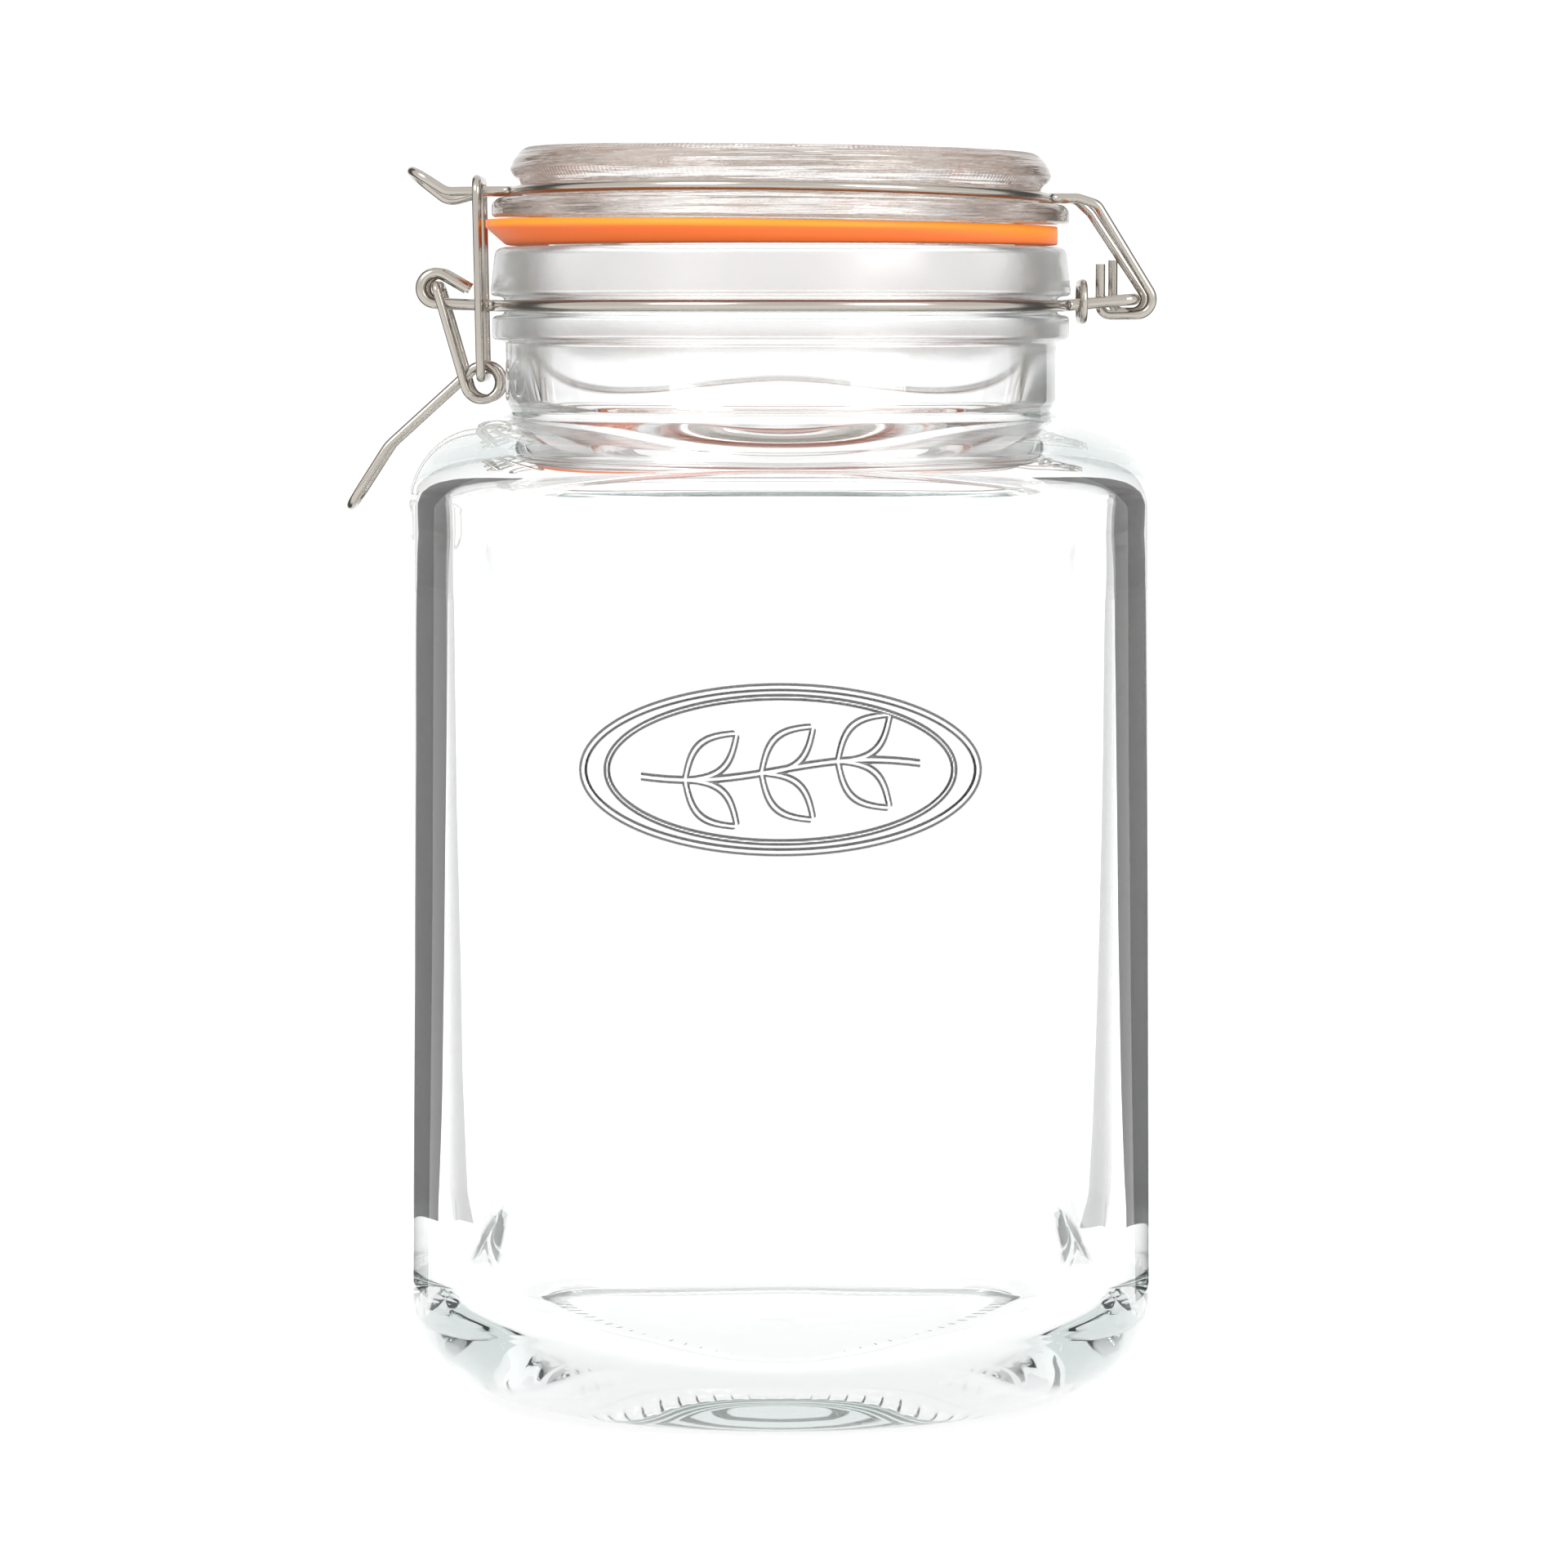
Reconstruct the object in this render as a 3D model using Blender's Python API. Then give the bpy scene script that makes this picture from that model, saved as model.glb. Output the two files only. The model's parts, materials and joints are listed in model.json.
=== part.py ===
"""Square clip-top preserving jar: glass body and lid, rubber seal and five sprung wires.

Sizes are in millimetres. x and y are measured from the jar's axis and z from the surface it
stands on; +x is the hinge side, -x the clip side and -y the front. The jar's axis itself lies
at x = AXIS_X, so that the origin is the centre of the whole object's footprint.
"""
import math

import bmesh
import bpy
from mathutils import Vector

MM = 0.001

# ---------------------------------------------------------------- clearances
SEAT_GAP = 0.3          # between pieces that rest on each other
RUN_GAP = 0.3           # between a wire and what it turns in or passes

# ---------------------------------------------------------------- glass body
BODY_HALF = 61.0        # half the width across the flats
BODY_POWER = 4.4        # squareness of the plan: 2 is a circle
WALL = 5.0
BASE_GLASS = 5.0        # glass under the inner floor
HEEL_INSET = 13.5       # from the flats in to the ring it stands on
BEARING_WIDTH = 3.5
PUSH_UP = 2.6
HEEL_RISE = 17.0
HEEL_EASE = 1.15        # how late up the heel its plan turns square
SHOULDER_EASE = 0.6
SIDE_HEIGHT = 148.7     # from the table to the start of the shoulder
SHOULDER_RISE = 13.5
NECK_R = 45.9
NECK_HEIGHT = 12.9      # from the shoulder to the lower bead
NECK_ROOT_DEPTH = 1.2   # small groove where the neck meets the shoulder
BEAD_STEP = 2.2         # how far the lower bead stands out from the neck
BEAD_HEIGHT = 3.8
GROOVE_STEP = 0.1       # the band's groove, measured out from the neck
GROOVE_SLACK = 1.5      # height of the groove beyond the wire
RIM_STEP = 2.5          # how far the rim stands out from the neck at its foot
RIM_TAPER = 0.8
RIM_HEIGHT = 8.0
NECK_WALL = 4.9

# ---------------------------------------------------------------- seal and lid
SEAL_THICK = 3.7
SEAL_OVERHANG = 0.0     # beyond the rim's upper edge
SEAL_SHIFT = -1.5       # the seal sits off centre, towards the clip
SEAL_TAPER = 1.7        # how much narrower its underside is
SEAL_RIDGE = 0.68       # height of its widest line, as a share of its thickness
LID_TILT = 0.75         # degrees: the seal is pressed thinner at the hinge
LID_FLANGE_OVER = 0.5   # beyond the rim's upper edge
LID_FLANGE_THICK = 3.3
LID_GROOVE_DEPTH = 5.1  # in from the flange's edge
LID_GROOVE_HEIGHT = 2.35
LID_BEAD_IN = 3.0       # the top bead, in from the flange's edge
LID_BEAD_HEIGHT = 6.15
LID_RIM_WIDTH = 8.1     # from the top bead in to the dish
LID_DISH_DEPTH = 3.4
LID_GLASS = 6.0
PLUG_GAP = 2.0          # between the lid's plug and the mouth
PLUG_REACH = 0.7        # how far the plug goes below the rim's top
PLUG_WIDTH = 4.0

# ---------------------------------------------------------------- wires
BAND_WIRE_R = 0.95
BAIL_WIRE_R = 0.8
LEVER_WIRE_R = 0.75
LINK_WIRE_R = 0.75
COLLAR_WIRE_R = 0.62
BAIL_STRAND_Y = 3.7     # half the distance between the bail's two strands
WIRE_BEND_R = 2.0       # an ordinary bend's inside is this less the wire

# clip side: distances out from the rim, heights above the neck band
CURL_R = 2.5
CURL_OUT = 8.7
CURL_LIFT = 0.4
CURL_TAIL = 4.4
CURL_END_ANGLE = 60.0
PIVOT_LIFT = 0.45       # the lever's ends bear on the top of the curls
COIL_R = 2.85
COIL_OUT = 1.1
COIL_DROP = 12.7
COIL_PITCH_GAP = 0.25
LINK_RISE = 0.8         # the link bears on the top of the coils
LINK_LEAN = 0.6
LINK_BEND_R = 2.5
HANDLE_BEND_OUT = 4.2   # the handle's bend, out from the body's side and over its shoulder
HANDLE_BEND_RISE = 8.8
HANDLE_TIP_OUT = 10.7
HANDLE_TIP_DROP = 1.3
HANDLE_BEND_R = 4.5
NOSE_OUT = 7.1          # where the bail's nose turns up
NOSE_TIP_OUT = 13.0
NOSE_TIP_RISE = 4.2
NOSE_TWIST = 0.8        # front strand high, back strand low
NOSE_SAG = 0.9

# hinge side
COLLAR_OUT = 1.8
COLLAR_RISE = 0.7
COLLAR_HALF_HEIGHT = 3.1
COLLAR_SIDE = 2.2
EYE_OUT = 10.4
EYE_RISE = 1.1
TAIL_CORNER = {-1: (4.1, 16.8), 1: (3.5, 15.4)}    # front and back: out, up
HOOK_R = {-1: 2.6, 1: 2.15}
HOOK_SHIFT = {-1: 0.3, 1: 0.0}
STUB_BACK = {-1: 5.7, 1: 3.2}                      # stub, in from the crossbar
STUB_RISE = {-1: 6.9, 1: 7.6}
BAIL_ARCH = 0.6

# ---------------------------------------------------------------- worked out
BEARING_R = BODY_HALF - HEEL_INSET
MOUTH_R = NECK_R - NECK_WALL
SHOULDER_TOP = SIDE_HEIGHT + SHOULDER_RISE
BEAD_FOOT = SHOULDER_TOP + NECK_HEIGHT
BEAD_TOP = BEAD_FOOT + BEAD_HEIGHT
GROOVE_HEIGHT = 2 * BAND_WIRE_R + GROOVE_SLACK
BAND_Z = BEAD_TOP + GROOVE_HEIGHT / 2
RIM_FOOT = BEAD_TOP + GROOVE_HEIGHT
RIM_TOP = RIM_FOOT + RIM_HEIGHT
RIM_R = NECK_R + RIM_STEP
RIM_TOP_R = RIM_R - RIM_TAPER
BAND_R = NECK_R + GROOVE_STEP + RUN_GAP + BAND_WIRE_R

SEAL_FOOT = RIM_TOP + SEAT_GAP
SEAL_TOP = SEAL_FOOT + SEAL_THICK
SEAL_R = RIM_TOP_R + SEAL_OVERHANG
LID_FOOT = SEAL_TOP + SEAT_GAP
LID_R = RIM_TOP_R + LID_FLANGE_OVER
LID_GROOVE_R = LID_R - LID_GROOVE_DEPTH
LID_BEAD_R = LID_R - LID_BEAD_IN
LID_DISH_R = LID_BEAD_R - LID_RIM_WIDTH
LID_FLANGE_TOP = LID_FOOT + LID_FLANGE_THICK
LID_BEAD_FOOT = LID_FLANGE_TOP + LID_GROOVE_HEIGHT
LID_TOP = LID_BEAD_FOOT + LID_BEAD_HEIGHT
PLUG_R = MOUTH_R - PLUG_GAP
TILT = math.tan(math.radians(LID_TILT))

BAIL_R = LID_GROOVE_R + BAIL_WIRE_R + 2 * RUN_GAP
BAIL_Z = LID_FLANGE_TOP + RUN_GAP + BAIL_WIRE_R
BAND_STRAND_Y = BAIL_STRAND_Y + BAIL_WIRE_R + 2 * RUN_GAP + BAND_WIRE_R
ARM_Y = BAND_STRAND_Y + BAND_WIRE_R + RUN_GAP + LEVER_WIRE_R
HANDLE_Y = ARM_Y - 2 * LEVER_WIRE_R - COIL_PITCH_GAP
LINK_Y = ARM_Y + LEVER_WIRE_R + RUN_GAP + LINK_WIRE_R

CURL = (-RIM_R - CURL_OUT, BAND_Z + CURL_R + CURL_LIFT)
LEVER_PIVOT = (CURL[0], CURL[1] + PIVOT_LIFT)
COIL = (-RIM_R - COIL_OUT, BAND_Z - COIL_DROP)
LINK_PIVOT = (COIL[0] - 0.1, COIL[1] + LINK_RISE)
BAIL_END_Z = BAIL_Z + TILT * BAIL_R    # the bail's height where it leaves the lid
NOSE_Z = BAIL_END_Z - NOSE_SAG
LINK_TOP_Z = BAIL_END_Z + BAIL_WIRE_R + RUN_GAP + LINK_WIRE_R
CROSSBAR = (RIM_R + EYE_OUT, BAND_Z + EYE_RISE)


HANDLE_BEND = (-BODY_HALF - HANDLE_BEND_OUT, SIDE_HEIGHT + HANDLE_BEND_RISE)
HANDLE_TIP = (-BODY_HALF - HANDLE_TIP_OUT, SIDE_HEIGHT - HANDLE_TIP_DROP)

CLIP_REACH = -HANDLE_TIP[0] + LEVER_WIRE_R
HINGE_REACH = CROSSBAR[0] + HOOK_SHIFT[-1] + HOOK_R[-1] + BAIL_WIRE_R
AXIS_X = (CLIP_REACH - HINGE_REACH) / 2

GLASS_SIDES = 64
ROUND_SIDES = 48
BEND_STEP = 24.0        # degrees per point in a wire's bend
RING_STEP = 7.5         # degrees per point where a wire goes round the jar


# ---------------------------------------------------------------- scene helpers
def clear_scene():
    for item in list(bpy.data.objects):
        bpy.data.objects.remove(item, do_unlink=True)


def make_material(name, colour, roughness, metallic=0.0, transmission=0.0):
    material = bpy.data.materials.new(name)
    material.use_nodes = True
    shader = material.node_tree.nodes["Principled BSDF"]
    shader.inputs["Base Color"].default_value = (*colour, 1.0)
    shader.inputs["Roughness"].default_value = roughness
    shader.inputs["Metallic"].default_value = metallic
    shader.inputs["Transmission Weight"].default_value = transmission
    shader.inputs["IOR"].default_value = 1.5
    material.diffuse_color = (*colour, 1.0)
    return material


def make_empty(name, x, z, parent=None):
    """An empty on an axis that runs along y; its place is given from the jar's axis."""
    empty = bpy.data.objects.new(name, None)
    bpy.context.scene.collection.objects.link(empty)
    empty["x"] = x
    empty["z"] = z
    if parent:
        empty.parent = parent
        empty.location = ((x - parent["x"]) * MM, 0, (z - parent["z"]) * MM)
    else:
        empty.location = (AXIS_X * MM, 0, 0)
    return empty


def add_node(name, data, material, parent):
    """Link a piece whose points are measured from the jar's axis, and hang it on its empty."""
    node = bpy.data.objects.new(name, data)
    bpy.context.scene.collection.objects.link(node)
    data.materials.append(material)
    node.parent = parent
    node.location = (-parent["x"] * MM, 0, -parent["z"] * MM)
    return node


# ---------------------------------------------------------------- glass and rubber
def arc(centre, size, start, end, steps):
    """Points on an elliptical arc in a profile, as (radius, height)."""
    points = []
    for i in range(steps + 1):
        turn = math.radians(start + (end - start) * i / steps)
        points.append((centre[0] + size[0] * math.cos(turn), centre[1] + size[1] * math.sin(turn)))
    return points


def plan_radius(half, power, turn):
    """Distance from the axis to a rounded square's outline."""
    sides = abs(math.cos(turn)) ** power + abs(math.sin(turn)) ** power
    return half / sides ** (1 / power)


def loft(name, rings, sides, closed_loop=False):
    """Skin a stack of rings, each (half width, z, power, x shift, tilt share)."""
    mesh = bmesh.new()
    loops = []
    for half, z, power, shift, tilt in rings:
        loop = []
        if half == 0:
            loops.append([mesh.verts.new((shift * MM, 0, z * MM))])
            continue
        for i in range(sides):
            turn = 2 * math.pi * i / sides
            radius = plan_radius(half, power, turn)
            x = radius * math.cos(turn) + shift
            y = radius * math.sin(turn)
            loop.append(mesh.verts.new((x * MM, y * MM, (z - x * TILT * tilt) * MM)))
        loops.append(loop)
    pairs = list(zip(loops, loops[1:]))
    if closed_loop:
        pairs.append((loops[-1], loops[0]))
    for low, high in pairs:
        for i in range(sides):
            j = (i + 1) % sides
            if len(low) == 1:
                mesh.faces.new((low[0], high[j], high[i]))
            elif len(high) == 1:
                mesh.faces.new((low[i], low[j], high[0]))
            else:
                mesh.faces.new((low[i], low[j], high[j], high[i]))
    bmesh.ops.recalc_face_normals(mesh, faces=mesh.faces)
    data = bpy.data.meshes.new(name)
    mesh.to_mesh(data)
    mesh.free()
    return data


def squared(points, low_z, high_z, from_low, ease):
    """Give profile points a plan that changes from round to the body's squareness."""
    rings = []
    for half, z in points:
        share = (z - low_z) / (high_z - low_z)
        if not from_low:
            share = 1 - share
        share = min(max(share, 0.0), 1.0) ** ease
        rings.append((half, z, 2 + (BODY_POWER - 2) * share, 0, 0))
    return rings


def plain(points):
    return [(half, z, 2, 0, 0) for half, z in points]


def body_outside():
    bearing_inner = BEARING_R - BEARING_WIDTH
    foot = [
        (0, PUSH_UP),
        (bearing_inner * 0.5, PUSH_UP),
        (bearing_inner - 4, PUSH_UP),
        (bearing_inner, 0),
        (BEARING_R, 0),
    ]
    heel = arc((BEARING_R, HEEL_RISE), (BODY_HALF - BEARING_R, HEEL_RISE), -75, 0, 5)
    shoulder = arc(
        (NECK_R + 0.8, SIDE_HEIGHT), (BODY_HALF - NECK_R - 0.8, SHOULDER_RISE), 0, 90, 6
    )
    neck = [
        (NECK_R - NECK_ROOT_DEPTH, SHOULDER_TOP + 0.8),
        (NECK_R, SHOULDER_TOP + 2.2),
        (NECK_R, BEAD_FOOT - 0.4),
        (NECK_R + BEAD_STEP, BEAD_FOOT),
        (NECK_R + BEAD_STEP, BEAD_TOP),
        (NECK_R + GROOVE_STEP, BEAD_TOP + 0.3),
        (NECK_R + GROOVE_STEP, RIM_FOOT - 0.3),
        (RIM_R, RIM_FOOT),
        (RIM_TOP_R, RIM_TOP - 0.8),
        (RIM_TOP_R - 0.8, RIM_TOP),
    ]
    return (
        plain(foot)
        + squared(heel, 0, HEEL_RISE, True, HEEL_EASE)
        + squared(shoulder, SIDE_HEIGHT, SHOULDER_TOP, False, SHOULDER_EASE)
        + plain(neck)
    )


def body_inside():
    inner_half = BODY_HALF - WALL
    floor = BASE_GLASS + PUSH_UP
    heel_in = BEARING_R - WALL
    inner_neck = MOUTH_R
    mouth = [
        (inner_neck + 0.8, RIM_TOP),
        (inner_neck, RIM_TOP - 0.8),
        (inner_neck, SHOULDER_TOP),
    ]
    shoulder = arc(
        (inner_neck, SIDE_HEIGHT), (inner_half - inner_neck, SHOULDER_RISE - WALL), 80, 0, 5
    )
    heel = arc(
        (heel_in, floor + HEEL_RISE - 1), (inner_half - heel_in, HEEL_RISE - 1), 0, -90, 5
    )
    floor_rings = [(heel_in * 0.5, floor + 0.5), (0, floor + 0.8)]
    return (
        plain(mouth)
        + squared(shoulder, SIDE_HEIGHT, SHOULDER_TOP - WALL, False, SHOULDER_EASE)
        + squared(heel, floor, floor + HEEL_RISE, True, HEEL_EASE)
        + plain(floor_rings)
    )


def lid_profile():
    """The lid from the middle of its underside, out and over to the middle of its top."""
    ceiling = LID_TOP - LID_DISH_DEPTH - LID_GLASS
    plug_foot = RIM_TOP - PLUG_REACH
    mouth_side = [
        (0, ceiling),
        (PLUG_R - PLUG_WIDTH - 3, ceiling),
        (PLUG_R - PLUG_WIDTH, plug_foot),
        (PLUG_R - 0.8, plug_foot),
        (PLUG_R, plug_foot + 0.8),
        (PLUG_R, LID_FOOT),
    ]
    flange = [
        (LID_R - 0.4, LID_FOOT),
        (LID_R, LID_FOOT + 0.4),
        (LID_R, LID_FLANGE_TOP - 1.0),
        (LID_R - 1.0, LID_FLANGE_TOP),
        (LID_GROOVE_R, LID_FLANGE_TOP),
    ]
    bead = [
        (LID_GROOVE_R + 0.2, LID_BEAD_FOOT),
        (LID_BEAD_R - 0.5, LID_BEAD_FOOT + 1.4),
        (LID_BEAD_R, LID_BEAD_FOOT + 2.4),
        (LID_BEAD_R - 0.7, LID_BEAD_FOOT + 4.2),
        (LID_BEAD_R - 2.6, LID_TOP),
        (LID_DISH_R + 2, LID_TOP),
        (LID_DISH_R, LID_TOP - LID_DISH_DEPTH),
        (0, LID_TOP - LID_DISH_DEPTH),
    ]
    return [(half, z, 2, 0, 1) for half, z in mouth_side + flange + bead]


def seal_profile():
    """The seal's section, leaning out towards the clip and pressed thin at the hinge."""
    inner = MOUTH_R
    return [
        (inner, SEAL_FOOT, 2, 0, 0),
        (SEAL_R - SEAL_TAPER, SEAL_FOOT, 2, 0.2, 0),
        (SEAL_R, SEAL_FOOT + SEAL_THICK * SEAL_RIDGE, 2, SEAL_SHIFT, SEAL_RIDGE),
        (SEAL_R, SEAL_TOP, 2, SEAL_SHIFT, 1),
        (inner, SEAL_TOP, 2, SEAL_SHIFT * 0.8, 1),
    ]


# ---------------------------------------------------------------- wires
def bend_points(before, corner, after, radius):
    """Replace a corner by an arc that is tangent to both of its runs."""
    a = (before - corner).normalized()
    b = (after - corner).normalized()
    opening = a.angle(b)
    turn = math.pi - opening
    if turn < math.radians(3):
        return [corner]
    reach = radius * math.tan(turn / 2)
    middle = corner + (a + b).normalized() * (radius / math.sin(opening / 2))
    start = corner + a * reach - middle
    axis = start.cross(corner + b * reach - middle).normalized()
    steps = max(2, math.ceil(math.degrees(turn) / BEND_STEP))
    points = []
    for i in range(steps + 1):
        share = turn * i / steps
        points.append(
            middle + start * math.cos(share) + axis.cross(start) * math.sin(share)
        )
    return points


def bent_path(points, closed=False):
    """Turn (x, y, z, bend radius) corners into the points of a bent wire."""
    places = [Vector(point[:3]) for point in points]
    count = len(points)
    path = []
    for i, point in enumerate(points):
        at_end = not closed and i in (0, count - 1)
        if at_end or point[3] == 0:
            path.append(places[i])
            continue
        path += bend_points(places[i - 1], places[i], places[(i + 1) % count], point[3])
    return path


def ring_points(radius, height, start, end):
    """Points of a wire that goes round the jar's axis, from one angle to another."""
    steps = max(2, round(abs(end - start) / RING_STEP))
    points = []
    for i in range(steps + 1):
        turn = math.radians(start + (end - start) * i / steps)
        x = radius * math.cos(turn)
        y = radius * math.sin(turn)
        points.append((x, y, height(x, y), 0))
    return points


def out_from(start, angle, distance):
    """The point at a distance from start, in the x-z plane."""
    turn = math.radians(angle)
    return start[0] + distance * math.cos(turn), start[1] + distance * math.sin(turn)


def plane_arc(centre, radius, start, end, y_start, y_end):
    """Points of a wire that turns about an axis along y."""
    steps = max(2, math.ceil(abs(end - start) / BEND_STEP))
    points = []
    for i in range(steps + 1):
        x, z = out_from(centre, start + (end - start) * i / steps, radius)
        points.append((x, y_start + (y_end - y_start) * i / steps, z, 0))
    return points


def tangent_angle(centre, radius, point, side):
    """Where a run from a point meets a circle, in degrees; side is +1 or -1."""
    dx = point[0] - centre[0]
    dz = point[1] - centre[1]
    swing = math.degrees(math.acos(radius / math.hypot(dx, dz)))
    return (math.degrees(math.atan2(dz, dx)) + side * swing) % 360


def wire(name, path, radius, closed=False):
    """A round wire along a path, with flat ends."""
    curve = bpy.data.curves.new(name, "CURVE")
    curve.dimensions = "3D"
    curve.bevel_depth = radius * MM
    curve.bevel_resolution = 2
    curve.use_fill_caps = not closed
    curve.render_resolution_u = 0
    curve.twist_mode = "MINIMUM"
    spline = curve.splines.new("POLY")
    spline.points.add(len(path) - 1)
    for target, place in zip(spline.points, path):
        target.co = (place.x * MM, place.y * MM, place.z * MM, 1)
    spline.use_cyclic_u = closed
    return curve


def flat(points):
    """Turn a half path (x, y, z, bend) over to the other side of the x-z plane."""
    return [(x, -y, z, bend) for x, y, z, bend in points]


def band_half():
    """The neck band's back half, from the curl at the clip to the middle of the crossbar."""
    y = BAND_STRAND_Y
    curl_start = out_from(CURL, CURL_END_ANGLE, CURL_R)
    tail = out_from(curl_start, CURL_END_ANGLE - 90, CURL_TAIL)
    lead = math.degrees(math.asin((y + 1.6 * WIRE_BEND_R) / BAND_R))
    corner = math.sqrt(BAND_R**2 - y**2)
    return (
        [(tail[0], y, tail[1], 0)]
        + plane_arc(CURL, CURL_R, CURL_END_ANGLE, 270, y, y)
        + [(-corner, y, BAND_Z, WIRE_BEND_R)]
        + ring_points(BAND_R, lambda x, y: BAND_Z, 180 - lead, lead)
        + [
            (corner, y, BAND_Z, WIRE_BEND_R),
            (CROSSBAR[0], y, CROSSBAR[1], WIRE_BEND_R),
        ]
    )


def band_path():
    back = band_half()
    return bent_path(back + flat(back)[::-1])


def bail_height(x, y):
    return BAIL_Z - x * TILT + BAIL_ARCH * (y / BAIL_R) ** 2


def bail_half(side):
    """One side of the bail, from the tip of its nose to the stub at the hinge."""
    y = BAIL_STRAND_Y
    lead = math.degrees(math.asin((y + 1.6 * WIRE_BEND_R) / BAIL_R))
    corner = math.sqrt(BAIL_R**2 - y**2)
    nose_z = NOSE_Z - side * NOSE_TWIST
    tip_z = NOSE_Z + NOSE_TIP_RISE - side * NOSE_TWIST / 2
    hook = (CROSSBAR[0] + HOOK_SHIFT[side], CROSSBAR[1])
    radius = HOOK_R[side]
    tail = (RIM_R + TAIL_CORNER[side][0], BAND_Z + TAIL_CORNER[side][1])
    start = tangent_angle(hook, radius, tail, -1)
    stub_x = CROSSBAR[0] - STUB_BACK[side]
    points = (
        [
            (-RIM_R - NOSE_TIP_OUT, y, tip_z, BAIL_STRAND_Y * 0.98),
            (-RIM_R - NOSE_OUT, y, nose_z, 3.0),
            (-LID_R - 1.2, y, BAIL_END_Z, 3.0),
            (-corner, y, BAIL_END_Z, WIRE_BEND_R),
        ]
        + ring_points(BAIL_R, bail_height, 180 - lead, lead)
        + [
            (corner, y, bail_height(corner, y), WIRE_BEND_R),
            (LID_R + 1.2, y, bail_height(corner, y), WIRE_BEND_R),
            (tail[0], y, tail[1], 2.2),
        ]
        + plane_arc(hook, radius, start, -90, y, y)
        + [
            (stub_x, y, hook[1] - radius, WIRE_BEND_R * 0.8),
            (stub_x, y, BAND_Z + STUB_RISE[side], 0),
        ]
    )
    return points if side > 0 else flat(points)


def bail_path():
    return bent_path(bail_half(-1)[::-1] + bail_half(1))


def lever_half():
    """The lever's back half, from the stub in its curl to the middle of the handle."""
    start = tangent_angle(COIL, COIL_R, LEVER_PIVOT, 1)
    end = tangent_angle(COIL, COIL_R, HANDLE_BEND, -1) + 360
    stub_y = BAND_STRAND_Y - BAND_WIRE_R - RUN_GAP - LEVER_WIRE_R
    return (
        [
            (LEVER_PIVOT[0], stub_y, LEVER_PIVOT[1], 0),
            (LEVER_PIVOT[0], ARM_Y, LEVER_PIVOT[1], 1.1),
        ]
        + plane_arc(COIL, COIL_R, start, end, ARM_Y, HANDLE_Y)
        + [
            (HANDLE_BEND[0], HANDLE_Y, HANDLE_BEND[1], 6.0),
            (HANDLE_TIP[0], HANDLE_Y, HANDLE_TIP[1], HANDLE_BEND_R),
        ]
    )


def lever_path():
    back = lever_half()
    return bent_path(back + flat(back)[::-1])


def link_path():
    top_x = LINK_PIVOT[0] - LINK_LEAN
    foot_bend = LINK_Y - ARM_Y - LEVER_WIRE_R
    corners = [
        (top_x, -LINK_Y, LINK_TOP_Z, LINK_BEND_R),
        (top_x, LINK_Y, LINK_TOP_Z, LINK_BEND_R),
        (LINK_PIVOT[0], LINK_Y, LINK_PIVOT[1], foot_bend),
        (LINK_PIVOT[0], -LINK_Y, LINK_PIVOT[1], foot_bend),
    ]
    return bent_path(corners, closed=True)


def collar_path():
    x = RIM_R + COLLAR_OUT
    z = BAND_Z + COLLAR_RISE
    y = BAND_STRAND_Y + COLLAR_SIDE
    bend = COLLAR_HALF_HEIGHT * 0.98
    corners = [
        (x, -y, z - COLLAR_HALF_HEIGHT, bend),
        (x, y, z - COLLAR_HALF_HEIGHT, bend),
        (x, y, z + COLLAR_HALF_HEIGHT, bend),
        (x, -y, z + COLLAR_HALF_HEIGHT, bend),
    ]
    return bent_path(corners, closed=True)


# ---------------------------------------------------------------- assembly
def build_jar(axis):
    glass = make_material("body_glass", (0.86, 0.93, 0.91), 0.02, transmission=1.0)
    steel = make_material("band_steel", (0.56, 0.54, 0.51), 0.28, metallic=1.0)
    collar = make_material("collar_steel", (0.52, 0.5, 0.47), 0.3, metallic=1.0)
    rings = body_outside() + body_inside()
    add_node("jar_body", loft("jar_body", rings, GLASS_SIDES), glass, axis)
    add_node("neck_band", wire("neck_band", band_path(), BAND_WIRE_R), steel, axis)
    ring = wire("collar_ring", collar_path(), COLLAR_WIRE_R, closed=True)
    add_node("collar_ring", ring, collar, axis)


def build_lid(axis):
    hinge = make_empty("lid_hinge_axis", CROSSBAR[0], CROSSBAR[1], axis)
    glass = make_material("lid_glass", (0.86, 0.9, 0.88), 0.03, transmission=1.0)
    rubber = make_material("seal_rubber", (0.95, 0.33, 0.02), 0.55)
    steel = make_material("bail_steel", (0.56, 0.54, 0.51), 0.28, metallic=1.0)
    add_node("glass_lid", loft("glass_lid", lid_profile(), ROUND_SIDES), glass, hinge)
    seal = loft("rubber_seal", seal_profile(), ROUND_SIDES, closed_loop=True)
    add_node("rubber_seal", seal, rubber, hinge)
    add_node("bail_wire", wire("bail_wire", bail_path(), BAIL_WIRE_R), steel, hinge)


def build_clamp(axis):
    pivot = make_empty("lever_pivot_axis", LEVER_PIVOT[0], LEVER_PIVOT[1], axis)
    joint = make_empty("link_pivot_axis", LINK_PIVOT[0], LINK_PIVOT[1], pivot)
    lever_steel = make_material("lever_steel", (0.56, 0.54, 0.51), 0.28, metallic=1.0)
    link_steel = make_material("link_steel", (0.56, 0.54, 0.51), 0.28, metallic=1.0)
    lever = wire("clamp_lever", lever_path(), LEVER_WIRE_R)
    add_node("clamp_lever", lever, lever_steel, pivot)
    link = wire("link_loop", link_path(), LINK_WIRE_R, closed=True)
    add_node("link_loop", link, link_steel, joint)


def main():
    clear_scene()
    axis = make_empty("jar_axis", 0, 0)
    build_jar(axis)
    build_lid(axis)
    build_clamp(axis)


main()
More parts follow.
